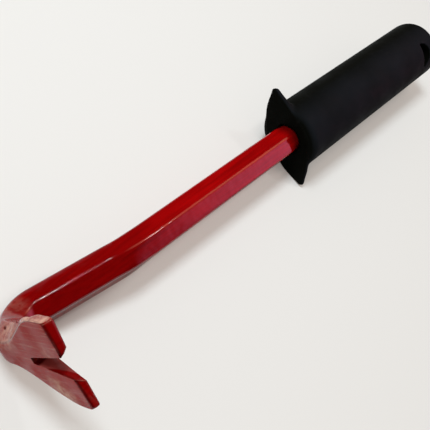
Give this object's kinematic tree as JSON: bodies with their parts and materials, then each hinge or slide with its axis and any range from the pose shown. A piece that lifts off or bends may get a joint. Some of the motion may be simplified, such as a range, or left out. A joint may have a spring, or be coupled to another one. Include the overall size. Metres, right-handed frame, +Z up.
{
  "type": "claw bar",
  "caption": "Short hexagonal pry bar with a bent, V-notched claw at one end and a round rubber grip with a pointed-oval guard at the other.",
  "frame": {"origin": "middle of the bounding box's base, on the table that the tool lies on", "axes": "+X along the tool towards the grip's end, +Z up; the tool lies as it does in the picture, on its heel, the grip and the guard's lower tip, with the claw leaning up and to -Y"},
  "size_m": [0.2861, 0.059, 0.0562],
  "materials": {
    "red_paint": "glossy dark red paint on forged steel, scuffed on the claw's outer face",
    "black_rubber": "smooth matt black moulded rubber"
  },
  "bodies": {
    "root": {"claw_bar": "red_paint", "rubber_grip": "black_rubber"}
  },
  "joints": []
}
